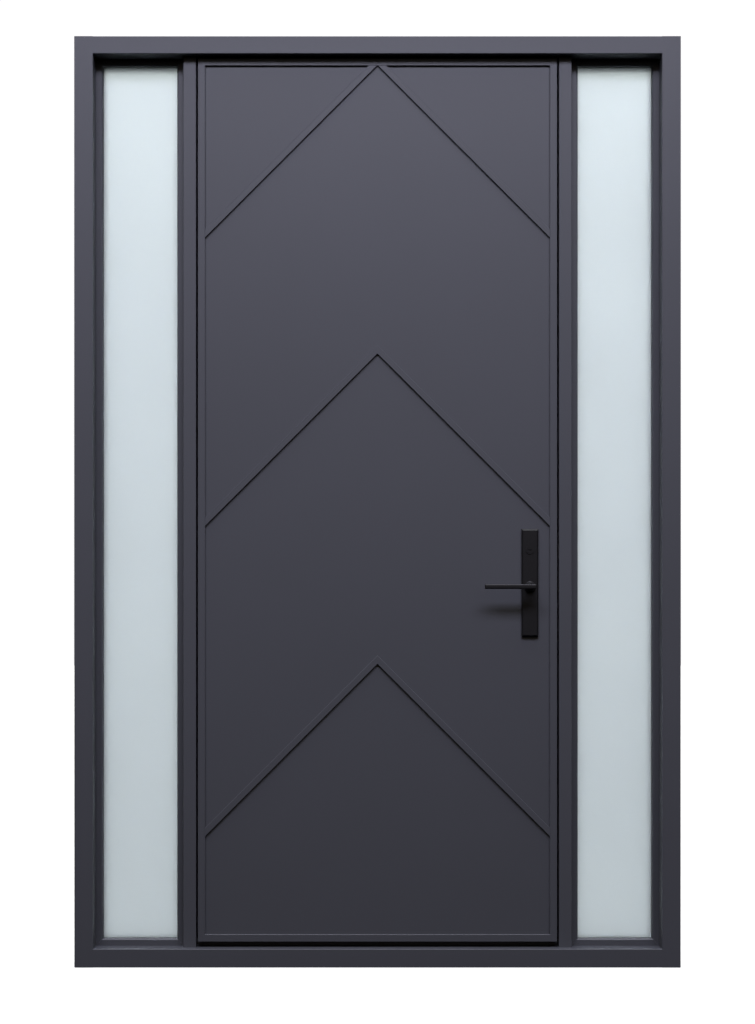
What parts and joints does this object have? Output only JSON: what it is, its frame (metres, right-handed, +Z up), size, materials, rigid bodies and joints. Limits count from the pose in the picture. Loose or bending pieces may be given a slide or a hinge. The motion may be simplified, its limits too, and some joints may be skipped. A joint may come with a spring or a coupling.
{
  "type": "steel entrance door unit with two glazed sidelights",
  "caption": "Single steel entrance door leaf with raised chevron bars between two narrow fixed glazed sidelights, in one steel frame, with lever handles and barrel hinges.",
  "frame": {"origin": "middle of the sill's underside, at mid depth of the frame", "axes": "+Z up, +Y from the outside towards the inside, +X to the right seen from outside"},
  "size_m": [1.588, 0.176, 2.438],
  "materials": {
    "frame_paint": "satin charcoal powder coat",
    "glass": "pale frosted safety glass",
    "spacer": "grey anodised",
    "seal_rubber": "matt black",
    "handle_black": "matt black",
    "bare_steel": "satin"
  },
  "bodies": {
    "frame": {"left_jamb": "frame_paint", "right_jamb": "frame_paint", "head": "frame_paint", "sill": "frame_paint", "left_mullion": "frame_paint", "right_mullion": "frame_paint", "left_outer_beads": "frame_paint", "right_outer_beads": "frame_paint", "left_inner_beads": "frame_paint", "right_inner_beads": "frame_paint", "left_outer_pane": "glass", "right_outer_pane": "glass", "left_inner_pane": "glass", "right_inner_pane": "glass", "glass_spacers": "spacer", "threshold_stop": "frame_paint", "weather_seals": "seal_rubber", "strike_plate": "bare_steel", "hinge_frame_halves": "frame_paint"},
    "leaf": {"leaf_hinge_stile": "frame_paint", "leaf_lock_stile": "frame_paint", "leaf_top_rail": "frame_paint", "leaf_bottom_rail": "frame_paint", "outer_skin": "frame_paint", "inner_skin": "frame_paint", "outer_hinge_side_bar": "frame_paint", "outer_lock_side_bar": "frame_paint", "outer_top_bar": "frame_paint", "outer_bottom_bar": "frame_paint", "outer_top_chevron": "frame_paint", "outer_middle_chevron": "frame_paint", "outer_bottom_chevron": "frame_paint", "inner_side_bars": "frame_paint", "inner_cross_bars": "frame_paint", "inner_chevrons": "frame_paint", "hinge_leaf_halves": "frame_paint", "outer_handle_plate": "handle_black", "inner_handle_plate": "handle_black", "lock_faceplate": "bare_steel", "lock_bolts": "bare_steel", "key_cylinder": "handle_black", "thumb_turn": "handle_black"},
    "handle": {"outer_lever": "handle_black", "inner_lever": "handle_black", "handle_spindle": "bare_steel"}
  },
  "joints": [
    {"name": "leaf_hinge", "type": "hinge", "parent": "frame", "child": "leaf", "pos_m": [-0.49, 0.065, 0], "axis": [0, 0, 1], "range_deg": [0, 110]},
    {"name": "lever_turn", "type": "hinge", "parent": "leaf", "child": "handle", "pos_m": [0.401, 0, 0.997], "axis": [0, -1, 0], "range_deg": [0, 45], "stiffness_Nm_per_rad": 1.5, "springref_deg": -22.92}
  ]
}
